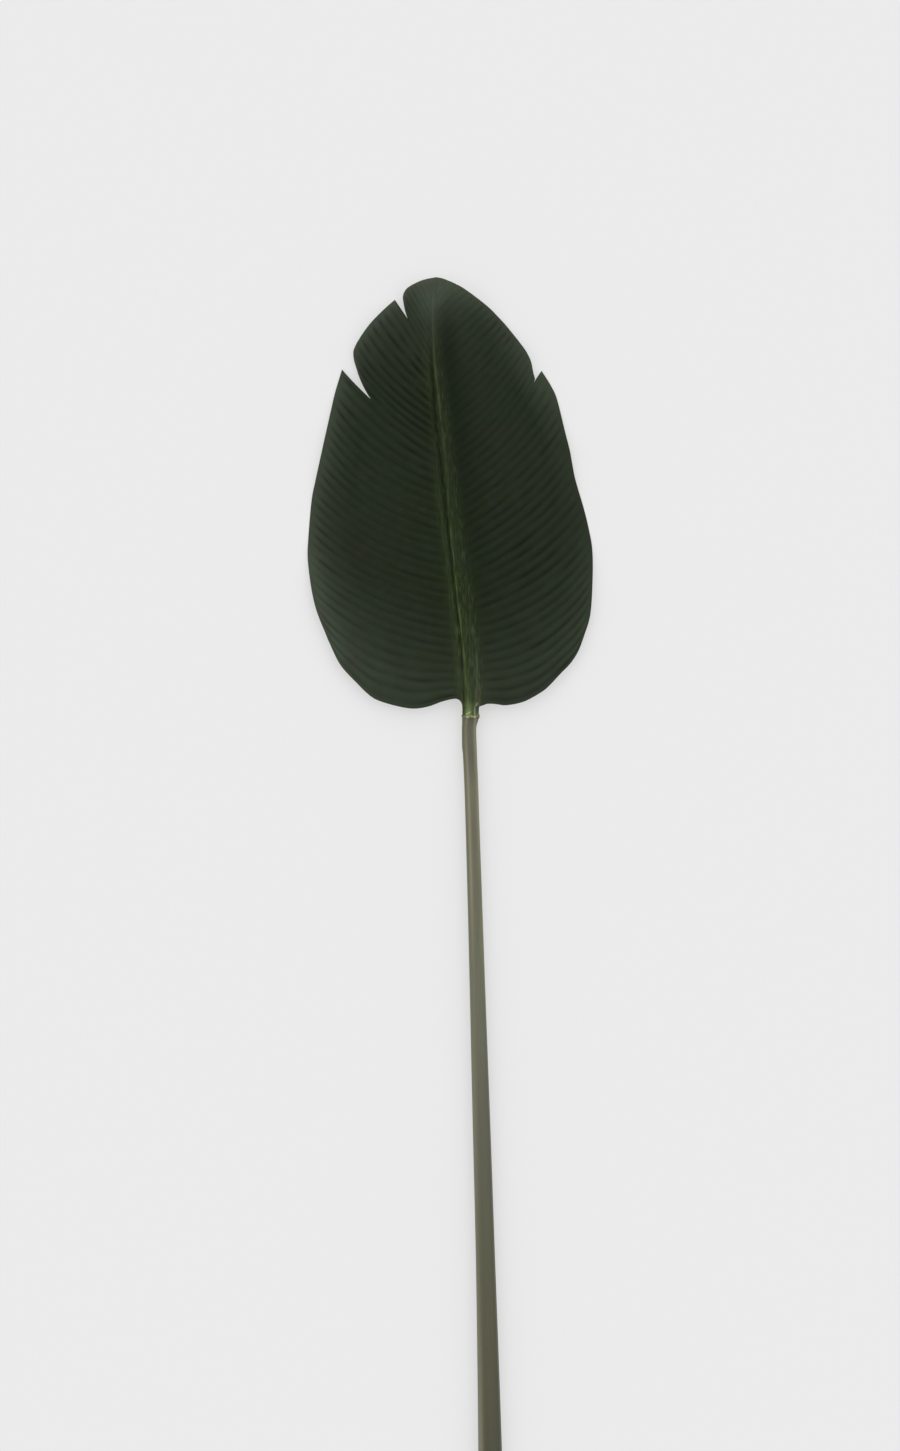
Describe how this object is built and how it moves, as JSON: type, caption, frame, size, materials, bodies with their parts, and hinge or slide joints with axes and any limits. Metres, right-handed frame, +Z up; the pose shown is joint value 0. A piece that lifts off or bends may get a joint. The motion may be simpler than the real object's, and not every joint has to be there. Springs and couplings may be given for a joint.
{
  "type": "banana leaf",
  "caption": "Long leaf with a pleated blade, arched to each side of its rib and torn at the margins, on a fluted stalk whose thin end sits in a short collar.",
  "frame": {"origin": "on the surface that the leaf lies on, under the middle of its footprint", "axes": "+Y from the cut end towards the leaf's tip, +X to the right as one looks down on the leaf's upper face, +Z up"},
  "size_m": [0.2412, 1.0002, 0.0256],
  "materials": {
    "leaf": "satin, finely veined dark green",
    "stalk": "matt, streaked grey-olive"
  },
  "bodies": {
    "root": {"leaf_blade": "leaf", "leaf_stalk": "stalk"}
  },
  "joints": []
}
